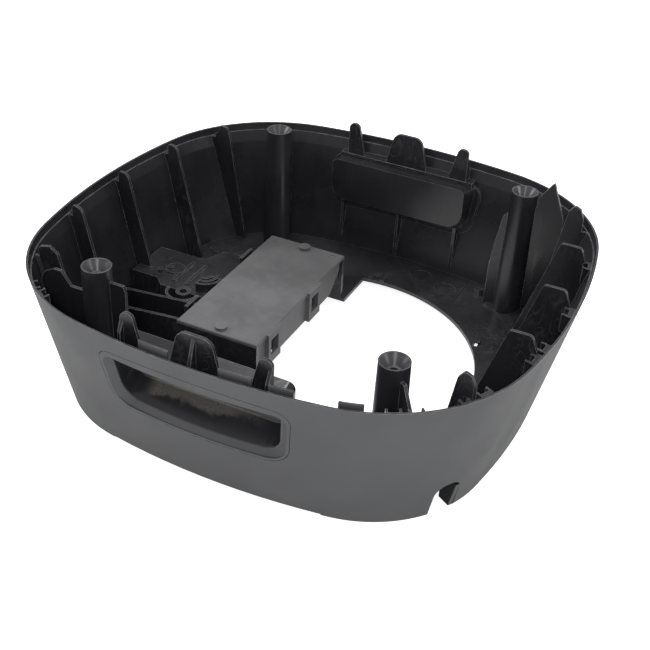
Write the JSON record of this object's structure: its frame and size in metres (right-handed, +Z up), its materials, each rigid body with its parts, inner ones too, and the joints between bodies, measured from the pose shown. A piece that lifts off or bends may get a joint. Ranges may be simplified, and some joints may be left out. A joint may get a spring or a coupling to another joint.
{
  "type": "multicooker base",
  "caption": "Rounded-square lower body of a multicooker with recessed carrying grips, screw towers, wall fins, a floor opening and a covered wiring compartment.",
  "frame": {"origin": "middle of the resting plane, under the centre of the body", "axes": "+Z up, +X from the left screw towers to the right ones, the two grips face -Y and +Y"},
  "size_m": [0.3324, 0.3206, 0.1151],
  "materials": {
    "shell_plastic": "fine matt grain outside, bare dark plastic inside",
    "cover_plastic": "satin with cloudy flow marks",
    "grip_plastic": "matt bezel, glossy pocket"
  },
  "bodies": {
    "root": {"base_shell": "shell_plastic", "compartment_cover": "cover_plastic", "front_grip_insert": "grip_plastic", "back_grip_insert": "grip_plastic"}
  },
  "joints": []
}
